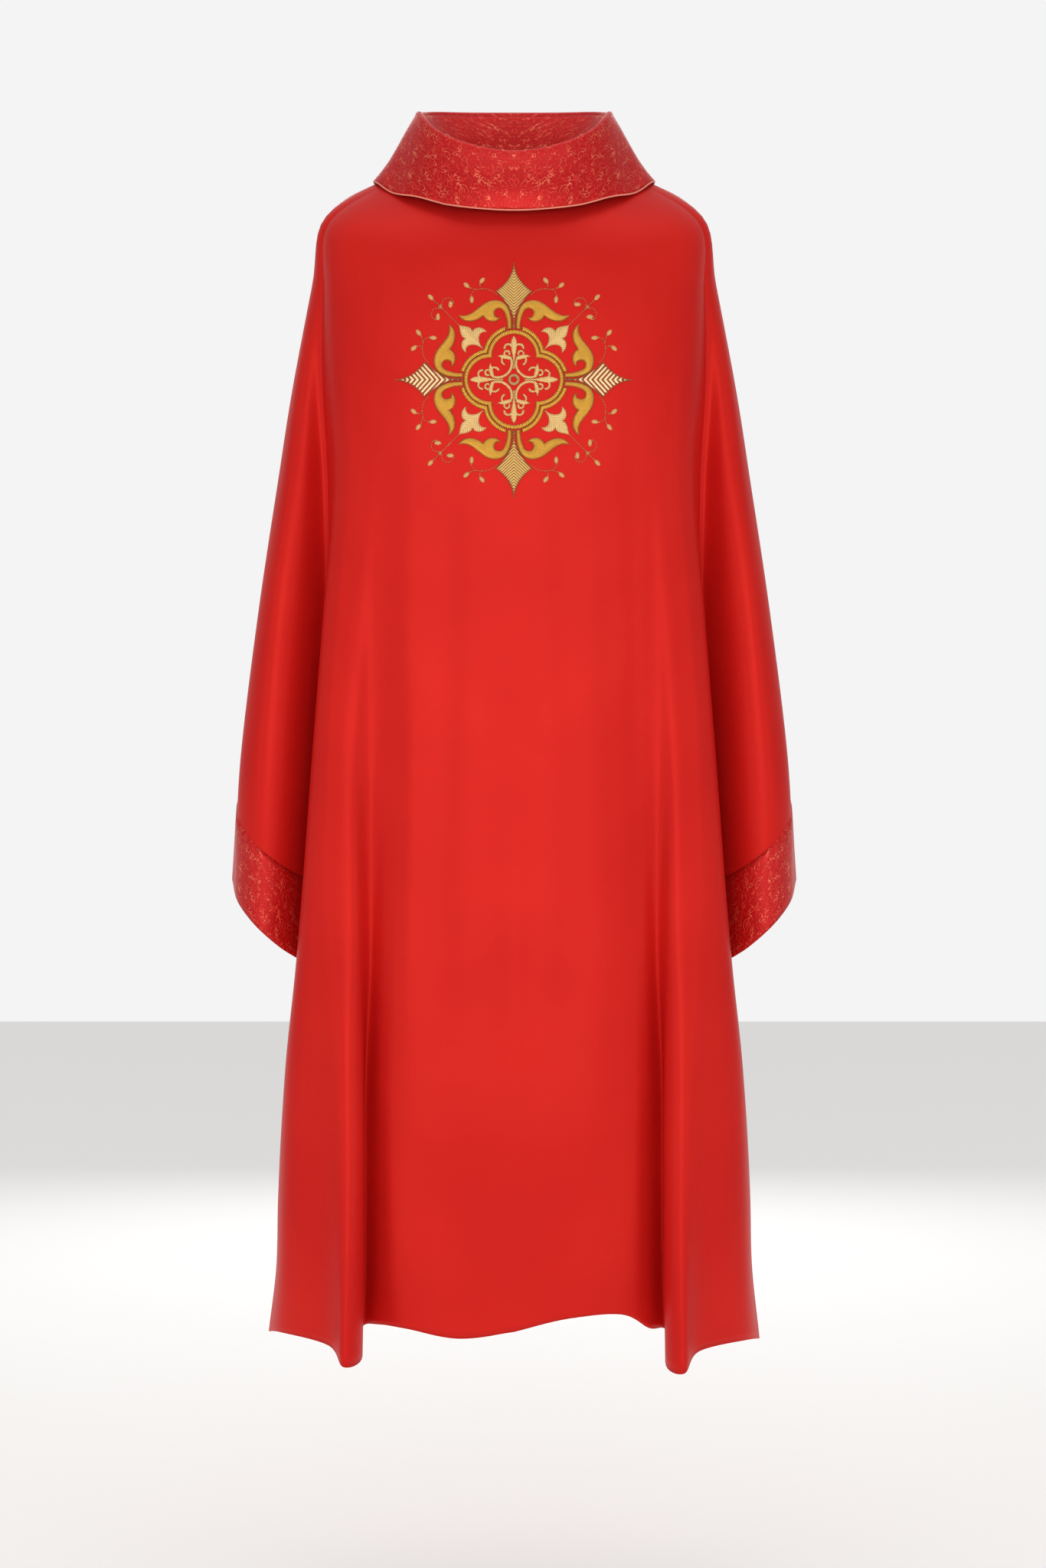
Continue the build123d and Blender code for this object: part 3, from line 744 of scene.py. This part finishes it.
def ring_by_angle(half):
    """The ring sampled at even angles, so that the collar's rings line up."""
    dense = closed_ring(half, 4000)
    angle = np.unwrap(np.arctan2(dense[:, 0], -dense[:, 1]))
    wanted = np.linspace(0, 2 * math.pi, COLLAR_COLUMNS, endpoint=False)
    order = np.argsort(angle)
    return np.stack([np.interp(wanted, angle[order], dense[order, axis], period=2 * math.pi)
                     for axis in range(3)], axis=1)


top_fold = ring_by_angle(TOP_FOLD)
lower_edge = ring_by_angle(LOWER_EDGE)
neck = [half_panels[True, "right"][0][0], half_panels[True, "right"][1][0][1:],
        half_panels[False, "right"][1][0][::-1][1:], half_panels[False, "right"][0][0][::-1][1:]]
neck_line = ring_by_angle(np.concatenate(neck)[::6] / MM)
radial = top_fold.copy()
radial[:, 2] = 0
radial /= np.linalg.norm(radial, axis=1, keepdims=True)
print("collar rings", len(top_fold), "columns, top fold from",
      round(top_fold[:, 2].min(), 4), "to", round(top_fold[:, 2].max(), 4))

# %% [markdown]
# The fall bows out a little in front, kicks out at its lower edge, and has two soft flutes on
# each side where the stiffening gives.  The roll at the top is a half circle of 4 mm radius.

# %% Profile of the collar
ROLL_R = 0.0042
FALL_ROWS, ROLL_ROWS, STAND_ROWS = 22, 8, 16
FLUTES = ((0.070, 0.0030, 0.010), (0.094, 0.0022, 0.012))   # place across, depth, half width


def fall_surface(inward, start=0.0, end=1.0, rows=FALL_ROWS):
    """Rows from the roll to the lower edge, moved inwards by a distance."""
    layers = []
    for s in np.linspace(start, end, rows):
        base = top_fold + radial * ROLL_R - np.array([0, 0, ROLL_R])
        point = base + (lower_edge - base) * s
        in_front = np.clip(-radial[:, 1:2], 0, 1)
        at_side = np.clip(np.abs(radial[:, 0:1]) - 0.6, 0, 1) / 0.4
        bow = 0.0055 * math.sin(math.pi * s) * in_front - 0.0035 * at_side * math.sin(math.pi * s ** 1.6)
        dent = np.zeros_like(bow)
        for place, depth, spread in FLUTES:
            dent -= depth * np.exp(-((np.abs(point[:, 0:1]) - place - 0.012 * s) / spread) ** 2)
        ripple = np.array([[noise.noise(Vector((abs(x) * 26, y * 26, z * 9)))] for x, y, z in point])
        layers.append(point + radial * (bow + dent * in_front * (0.35 + 0.65 * s) * min(1, 5 * s)
                                        + 0.0013 * ripple * min(1, 4 * s) - inward))
    return np.array(layers)


def roll_surface():
    """Rows of the half circle over the top, from the outside in."""
    return np.array([top_fold + radial * ROLL_R * math.cos(a) + np.array([0, 0, ROLL_R * (math.sin(a) - 1)])
                     for a in np.linspace(0, math.pi, ROLL_ROWS)])


def stand_surface():
    """Rows from the roll down inside to the neckline, hollowed a little like a stiff tube."""
    head = top_fold - radial * ROLL_R - np.array([0, 0, ROLL_R])
    foot = neck_line + np.array([0, 0, 0.0005])
    return np.array([head + (foot - head) * s - radial * 0.004 * math.sin(math.pi * s)
                     for s in np.linspace(0, 1, STAND_ROWS)])


def around(rows):
    """Close a swept surface by repeating its first column."""
    return np.concatenate([rows, rows[:, :1]], axis=1)


def mirrored_uv(grid):
    """Cloth coordinates that run both ways from the front centre, for a mirrored figure."""
    uv = cloth_uv(grid)
    total = uv[:, -1:, 0]
    uv[..., 0] = np.where(uv[..., 0] > total / 2, total - uv[..., 0], uv[..., 0])
    return uv


# %% [markdown]
# The fall and the roll are one sheet of brocade, and the stand inside is another.  Canvas and an
# under layer of brocade lie below the fall and keep it stiff.  Their cloth coordinates are
# mirrored at the centre front, because the figure of the brocade is.

# %% Collar pieces
def away(centre):
    """Outwards from the neck."""
    return Vector((centre.x, centre.y, 0))


BROCADE_T = 1.0 * MM
fall = around(np.concatenate([roll_surface()[::-1][:-1], fall_surface(0)]))
collar = make_sheet("collar_fall_brocade", [fall], brocade, BROCADE_T, out=away,
                    uvs=[mirrored_uv(fall)])
settle(collar, "red_brocade", "collar_fall")

stand = around(stand_surface())
stand_piece = make_sheet("collar_stand_brocade", [stand], brocade, BROCADE_T, offset=1.0,
                         out=lambda centre: -away(centre), uvs=[mirrored_uv(stand)])
settle(stand_piece, "red_brocade", "collar_stand")

under = around(fall_surface(1.5 * MM, 0.05, 0.96))
interlining = make_sheet("collar_canvas", [under], canvas, 0.8 * MM, out=away)
settle(interlining, "interlining", "collar_interlining")

under_layer = around(fall_surface(2.7 * MM, 0.02, 0.985))
lining_piece = make_sheet("collar_under_brocade", [under_layer], brocade, 0.8 * MM, out=away,
                          uvs=[mirrored_uv(under_layer)])
settle(lining_piece, "red_brocade")

tape_rows = np.array([neck_line * (0.965, 0.965, 1) + np.array([0, 0, z])
                      for z in np.linspace(0.004, -0.010, 4)])
neck_tape = make_sheet("neck_seam_tape", [around(tape_rows)], tape_cloth, 0.6 * MM, out=away)
settle(neck_tape, "red_tape", "neck_tape")
print("collar pieces made; fall's outer edge reaches", round(float(fall[..., 0].max()), 4))

# %% [markdown]
# ## The collar's edge
# A fine coral thread is whipped over the lower edge.  The edge itself is a thin cord; the
# whipping is one stitch, repeated along it by Geometry Nodes: the path is resampled to the
# stitch length and a small spindle is placed on each point, turned along the path.

# %% Stitch maker
def stitch_tree(material):
    """Geometry Nodes that lay stitches along the object's edges."""
    tree = bpy.data.node_groups.new(f"stitches of {material.name}", "GeometryNodeTree")
    tree.interface.new_socket("Path", in_out="INPUT", socket_type="NodeSocketGeometry")
    for name in ("Stitch length", "Gap", "Thickness", "Slant"):
        tree.interface.new_socket(name, in_out="INPUT", socket_type="NodeSocketFloat")
    tree.interface.new_socket("Stitches", in_out="OUTPUT", socket_type="NodeSocketGeometry")
    given = add_node(tree, "NodeGroupInput").outputs
    curve = add_node(tree, "GeometryNodeMeshToCurve", links={"Mesh": given["Path"]})
    pitch = add_node(tree, "ShaderNodeMath", links={0: given["Stitch length"], 1: given["Gap"]},
                     operation="ADD")
    points = add_node(tree, "GeometryNodeResampleCurve", mode="LENGTH",
                      links={"Curve": curve.outputs[0], "Length": pitch.outputs[0]})
    spindle = add_node(tree, "GeometryNodeMeshUVSphere",
                       values={"Segments": 6, "Rings": 5, "Radius": 0.5})
    along = add_node(tree, "GeometryNodeInputTangent")
    turn = add_node(tree, "FunctionNodeAlignEulerToVector", axis="Z",
                    links={"Vector": along.outputs[0]})
    slanted = add_node(tree, "FunctionNodeRotateEuler", rotation_type="AXIS_ANGLE", space="LOCAL",
                       links={"Rotation": turn.outputs[0], "Angle": given["Slant"]},
                       values={"Axis": (1, 0, 0)})
    size = add_node(tree, "ShaderNodeCombineXYZ", links={0: given["Thickness"], 1: given["Thickness"],
                                                         2: given["Stitch length"]})
    placed = add_node(tree, "GeometryNodeInstanceOnPoints",
                      links={"Points": points.outputs[0], "Instance": spindle.outputs[0],
                             "Rotation": slanted.outputs[0], "Scale": size.outputs[0]})
    real = add_node(tree, "GeometryNodeRealizeInstances", links={0: placed.outputs[0]})
    coated = add_node(tree, "GeometryNodeSetMaterial", links={0: real.outputs[0]})
    coated.inputs["Material"].default_value = material
    add_node(tree, "NodeGroupOutput", links={0: coated.outputs[0]})
    return tree


def stitched_piece(name, paths, tree, length, gap, thickness, slant=0.0):
    """A piece of stitches along paths of points, in metres."""
    mesh = bpy.data.meshes.new(name)
    points, edges = [], []
    for path in paths:
        edges += [(len(points) + i, len(points) + i + 1) for i in range(len(path) - 1)]
        points += [tuple(p) for p in path]
    mesh.from_pydata(points, edges, [])
    guide = bpy.data.objects.new(name + "_guide", mesh)
    scene.collection.objects.link(guide)
    maker = guide.modifiers.new("stitches", "NODES")
    maker.node_group = tree
    sizes = {"Stitch length": length, "Gap": gap, "Thickness": thickness, "Slant": slant}
    for socket in tree.interface.items_tree:
        if socket.item_type == "SOCKET" and socket.name in sizes:
            maker[socket.identifier] = sizes[socket.name]
    graph = bpy.context.evaluated_depsgraph_get()
    result = bpy.data.meshes.new_from_object(guide.evaluated_get(graph))
    bpy.data.objects.remove(guide)
    result.name = name
    result.shade_smooth()
    piece = bpy.data.objects.new(name, result)
    scene.collection.objects.link(piece)
    print(name, len(result.polygons), "faces")
    return piece


# %% [markdown]
# The cord inside the whipping is a tube swept round the collar's last row.  The whipping lies
# on the same path, slanted, each stitch overlapping the next.

# %% Edge of the collar
EDGE_R = 0.9 * MM


def tube_mesh(name, path, radius, sides, material):
    """A closed ring of tube along a closed path."""
    run = np.roll(path, -1, axis=0) - np.roll(path, 1, axis=0)
    run /= np.linalg.norm(run, axis=1, keepdims=True)
    side_way = np.cross(run, (0, 0, 1.0))
    side_way /= np.linalg.norm(side_way, axis=1, keepdims=True)
    up = np.cross(side_way, run)
    rings = [[p + radius * (math.cos(a) * s + math.sin(a) * u)
              for a in np.linspace(0, 2 * math.pi, sides, endpoint=False)]
             for p, s, u in zip(path, side_way, up)]
    mesh = bpy.data.meshes.new(name)
    count = len(path)
    mesh.from_pydata([tuple(v) for r in rings for v in r], [],
                     [((i % count) * sides + j, (i % count) * sides + (j + 1) % sides,
                       ((i + 1) % count) * sides + (j + 1) % sides, ((i + 1) % count) * sides + j)
                      for i in range(count) for j in range(sides)])
    build = bmesh.new()
    build.from_mesh(mesh)
    bmesh.ops.recalc_face_normals(build, faces=build.faces)
    build.to_mesh(mesh)
    build.free()
    mesh.shade_smooth()
    mesh.materials.append(material)
    piece = bpy.data.objects.new(name, mesh)
    scene.collection.objects.link(piece)
    return piece


edge_path = fall_surface(0)[-1] + np.array([0, 0, -0.0006]) - radial * 0.0006
edging = tube_mesh("collar_edge_cord", edge_path, EDGE_R, 8, coral_edge)
settle(edging, "coral_piping", "collar_piping")
coral_stitches = stitch_tree(coral_edge)
whipping = stitched_piece("collar_edge_whipping", [np.concatenate([edge_path, edge_path[:1]])],
                          coral_stitches, 0.0034, -0.0012, 0.0014, slant=0.85)
settle(whipping, "coral_piping")

# %% [markdown]
# ## The gold motif
# The motif is machine embroidery: padded satin stitch for the leaves and the quatrefoil, flat
# satin stitch for the points, the fleurs and the cross, and running stitch for the sprays.  Each
# measured plate gives the outline of its piece.  The outline is filled with a fine triangle
# mesh, raised in a dome by its distance from the edge, and laid on the hanging cloth by a ray
# from the front.

# %% Outlines of the plates
MOTIF_Z = -0.257
graph = bpy.context.evaluated_depsgraph_get()
front_cloth = BVHTree.FromObject(panels[True], graph)


def cloth_front(x, z):
    """How far forward the front panel's face is at a place."""
    hit = front_cloth.ray_cast(Vector((x, -1.0, z)), Vector((0, 1, 0)))[0]
    return hit.y


def outline_loops(node_name):
    """Closed outlines of a flat plate's front face, as (x, z) in metres."""
    build = bmesh.new()
    build.from_mesh(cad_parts[node_name].data)
    bmesh.ops.remove_doubles(build, verts=build.verts, dist=1e-5)
    front_faces = {f for f in build.faces if f.normal.y < -0.9}
    rim = [e for e in build.edges if sum(f in front_faces for f in e.link_faces) == 1]
    unused = dict.fromkeys(rim)          # in the mesh's own order, so every run gives the same loops
    loops = []
    while unused:
        edge = next(iter(unused))
        del unused[edge]
        first, corner = edge.verts
        loop = [first]
        while corner is not first:
            loop.append(corner)
            edge = next(e for e in corner.link_edges if e in unused)
            del unused[edge]
            corner = edge.other_vert(corner)
        loops.append([(v.co.x, v.co.z) for v in loop])
    build.free()
    return loops


def even(loop, step):
    """The closed loop with a point about every `step`."""
    points = np.array(loop + loop[:1])
    lengths = np.concatenate([[0], np.cumsum(np.linalg.norm(np.diff(points, axis=0), axis=1))])
    kept = []
    for i in range(len(points) - 1):
        parts = max(1, round((lengths[i + 1] - lengths[i]) / step))
        kept += [points[i] + (points[i + 1] - points[i]) * k / parts for k in range(parts)]
    return np.array(kept)


def inside(points, loops):
    """Even-odd test of many points against closed loops."""
    odd = np.zeros(len(points), bool)
    x, y = points[:, 0], points[:, 1]
    for loop in loops:
        for (ax, ay), (bx, by) in zip(loop, np.roll(loop, -1, axis=0)):
            crosses = (ay > y) != (by > y)
            with np.errstate(divide="ignore", invalid="ignore"):
                odd ^= crosses & (x < (bx - ax) * (y - ay) / (by - ay) + ax)
    return odd


# %% [markdown]
# Padding makes satin stitch stand up in a dome, so the height of a point is worked out from its
# distance to the nearest edge.  Distances come from a KD tree of the edge's points.  The back of
# a plate is left open, since it lies on the cloth: a short skirt hides its edge.

# %% A domed, stitched plate
GRAIN = 1.0 * MM         # spacing of the triangle mesh
SKIRT = 0.9 * MM         # how far a plate's edge goes down into the cloth
BUD_EDGE = 2.6 * MM      # how far a bud reaches from the points that are deep inside it


def embroider(node_name, name, material, slot, height, dome, thread_way, centre=(0, MOTIF_Z), angle=0.0,
              core=None):
    """A domed plate on the cloth.  thread_way gives the "stitch" value from (across, along)."""
    loops = [even(loop, GRAIN) for loop in outline_loops(node_name)]
    rim = np.concatenate(loops)
    low, high = rim.min(axis=0), rim.max(axis=0)
    xs = np.arange(low[0], high[0], GRAIN)
    zs = np.arange(low[1], high[1], GRAIN * 0.87)
    middle = np.array([(x + (i % 2) * GRAIN / 2, z) for i, z in enumerate(zs) for x in xs])
    tree = KDTree(len(rim))
    for i, (x, z) in enumerate(rim):
        tree.insert((x, 0, z), i)
    tree.balance()
    middle = middle[inside(middle, loops)]
    middle = np.array([p for p in middle if tree.find((p[0], 0, p[1]))[2] > GRAIN * 0.55]).reshape(-1, 2)
    edges, start = [], 0
    for loop in loops:
        count = len(loop)
        edges += [(start + i, start + (i + 1) % count) for i in range(count)]
        start += count
    points = [Vector(p) for p in np.concatenate([rim, middle])]
    flat, _, faces, *_ = delaunay_2d_cdt(points, edges, [], 1, 1e-7)
    flat = np.array([(v.x, v.y) for v in flat])
    centres = flat[np.array(faces)].mean(axis=1)
    faces = [f for f, keep in zip(faces, inside(centres, loops)) if keep]
    if core:             # a spray keeps its buds; its stems are running stitches, made later
        buds = KDTree(len(flat))
        for i, (x, z) in enumerate(flat):
            if tree.find((x, 0, z))[2] > core:
                buds.insert((x, 0, z), i)
        buds.balance()
        near_bud = []
        for face in faces:
            x, z = flat[face].mean(axis=0)
            distance = buds.find((x, 0, z))[2]
            if distance is not None and distance < BUD_EDGE:
                near_bud.append(face)
        faces = near_bud
    build = bmesh.new()
    stitch = build.verts.layers.float.new("stitch")
    painted_rim_shade = build.verts.layers.float.new("rim")
    verts = []
    c, s = math.cos(angle), math.sin(angle)
    for x, z in flat:
        reach = tree.find((x, 0, z))[2]
        part = min(reach / dome, 1.0)
        lift = height * math.sqrt(1 - (1 - part) ** 2)
        vert = build.verts.new((x, cloth_front(x, z) - 0.00035 - lift, z))
        dx, dz = (x - centre[0]) / MM, (z - centre[1]) / MM
        vert[stitch] = thread_way(c * dx + s * dz, -s * dx + c * dz)
        # Painted shade: darker towards the piece's edge, where the padded dome turns away from the light.
        vert[painted_rim_shade] = 0.32 + 0.68 * min(reach / (0.4 * dome), 1.0)
        verts.append(vert)
    for face in faces:
        made = build.faces.new([verts[i] for i in face])
        made.smooth = True
    bmesh.ops.recalc_face_normals(build, faces=build.faces)
    build.faces.ensure_lookup_table()
    if sum(f.normal.y for f in build.faces) > 0:
        bmesh.ops.reverse_faces(build, faces=build.faces)
    rim_edges = [e for e in build.edges if e.is_boundary]
    skirt = bmesh.ops.extrude_edge_only(build, edges=rim_edges)
    for v in (g for g in skirt["geom"] if isinstance(g, bmesh.types.BMVert)):
        v.co.y += SKIRT
    loose = [v for v in build.verts if not v.link_faces]
    bmesh.ops.delete(build, geom=loose, context="VERTS")
    mesh = bpy.data.meshes.new(name)
    build.to_mesh(mesh)
    build.free()
    mesh.materials.append(material)
    piece = bpy.data.objects.new(name, mesh)
    scene.collection.objects.link(piece)
    settle(piece, slot, node_name)
    return piece


# %% [markdown]
# The "stitch" number decides which way the threads seem to run: equal numbers lie on one thread.
# A point has a chevron that meets at a vein, a ring has threads across it, and the rest slant.
# One table of places and one of corners then turn each kind of piece round the motif.

# %% Directions of the threads
def chevron(across, along):
    """Threads that slope from a middle vein to both edges."""
    return along - 0.9 * abs(across)


def radial_threads(across, along):
    """Threads that cross a ring, counted along it."""
    return 30 * math.atan2(across, along)


def slanting(across, along):
    """Threads on one slant."""
    return 0.75 * along + 0.65 * across


PLACES = (("top", 0.0), ("right", -math.pi / 2), ("bottom", math.pi), ("left", math.pi / 2))
CORNERS = (("upper_right", -math.pi / 4), ("lower_right", -3 * math.pi / 4),
           ("lower_left", 3 * math.pi / 4), ("upper_left", math.pi / 4))
gold_pieces = {}


def gold(node, material, slot, height, dome, thread_way, angle=0.0, core=None):
    """Embroider a node of the motif and remember the piece."""
    name = f"embroidery_{node}"
    gold_pieces[node] = embroider(name, f"stitched_{node}", material, slot, height, dome, thread_way,
                                  angle=angle, core=core)


for place, angle in PLACES:
    upright = place in ("top", "bottom")
    gold(f"lozenge_{place}", deep_gold if upright else ribbed_gold,
         "old_gold_thread" if upright else "pale_gold_thread", 1.1 * MM, 5 * MM, chevron, angle)
    for hand in "ab":
        gold(f"scroll_{place}_{hand}", padded_gold, "gold_thread", 3.0 * MM, 5.0 * MM, slanting, angle)
        gold(f"spray_{place}_{hand}", rose_thread, "rose_gold_thread", 0.9 * MM, 1.2 * MM, slanting, angle,
             core=0.75 * MM)
for corner, angle in CORNERS:
    gold(f"fleur_{corner}", pale_gold, "pale_gold_thread", 1.1 * MM, 4 * MM, chevron, angle)
    gold(f"spray_{corner}", rose_thread, "rose_gold_thread", 0.9 * MM, 1.2 * MM, slanting, angle,
         core=0.75 * MM)
gold("quatrefoil_band", padded_gold, "gold_thread", 2.1 * MM, 2.6 * MM, radial_threads)
gold("quatrefoil_cord", padded_gold, "gold_thread", 1.6 * MM, 2.4 * MM, radial_threads)
gold("centre_cross", pale_gold, "pale_gold_thread", 1.2 * MM, 2.2 * MM, slanting)
gold("centre_ring", pale_gold, "pale_gold_thread", 1.2 * MM, 1.7 * MM, radial_threads)
print("gold pieces", len(gold_pieces), "with",
      sum(len(piece.data.polygons) for piece in gold_pieces.values()), "faces")

# %% [markdown]
# ## Running stitches
# The sprays' stems are a single line of running stitch, and a row of short stitches beads the
# edge of the four points.  The stems are drawn once, in millimetres from the motif's centre, and
# turned and flipped to their eight places; the same Geometry Nodes as on the collar lay the
# stitches.

# %% Stems of the sprays
AXIS_STEMS = [
    [(19.5, 95.2), (24.3, 99), (35.1, 101.4), (42.8, 100.6), (50, 103.6)],
    [(35.1, 101.4), (37.6, 105), (37, 108.5)],
    [(42.8, 100.6), (46.4, 96.8), (47, 91)],
]
CORNER_STEMS = [
    [(0, 88.2), (0, 108), (0, 127)],
    [(0, 113), (7.5, 118.5), (13.2, 116), (14.8, 110.5), (11, 108)],
]
STITCHED_SIZE = 0.975    # drawn size to stitched size


def on_cloth(points, angle, flip, lift):
    """A smooth path on the cloth through points of the motif, in millimetres."""
    points = np.array(points, float) * (flip, 1) * STITCHED_SIZE
    knots = np.concatenate([[0], np.cumsum(np.linalg.norm(np.diff(points, axis=0), axis=1))])
    if len(points) > 2:
        points = through(knots, points[:, None, :], np.linspace(0, knots[-1], int(knots[-1]) + 2))[:, 0]
    c, s = math.cos(angle), math.sin(angle)
    path = []
    for across, along in points * MM:
        x, z = c * across - s * along, MOTIF_Z + s * across + c * along
        path.append((x, cloth_front(x, z) - lift, z))
    return np.array(path)


stems = [on_cloth(stem, angle, flip, 0.6 * MM)
         for _, angle in PLACES for flip in (1, -1) for stem in AXIS_STEMS]
stems += [on_cloth(CORNER_STEMS[0], angle, 1, 0.6 * MM) for _, angle in CORNERS]
stems += [on_cloth(CORNER_STEMS[1], angle, flip, 0.6 * MM) for _, angle in CORNERS for flip in (1, -1)]
running = stitched_piece("spray_running_stitch", stems, stitch_tree(rose_thread),
                         2.5 * MM, 0.5 * MM, 1.05 * MM)
settle(running, "rose_gold_thread")

# %% [markdown]
# A row of short stitches covers the raw edge of each of the four points, just inside the outline.

# %% Beaded edges of the points
beads = []
for place, _ in PLACES:
    loop = even(outline_loops(f"embroidery_lozenge_{place}")[0], 1.0 * MM)
    middle = loop.mean(axis=0)
    beads.append(np.array([(x, cloth_front(x, z) - 0.8 * MM, z)
                           for x, z in middle + (loop - middle) * 0.985]))
beading = stitched_piece("point_edge_stitch", [np.concatenate([b, b[:1]]) for b in beads],
                         stitch_tree(pale_gold), 2.3 * MM, 0.2 * MM, 1.1 * MM)
settle(beading, "pale_gold_thread")
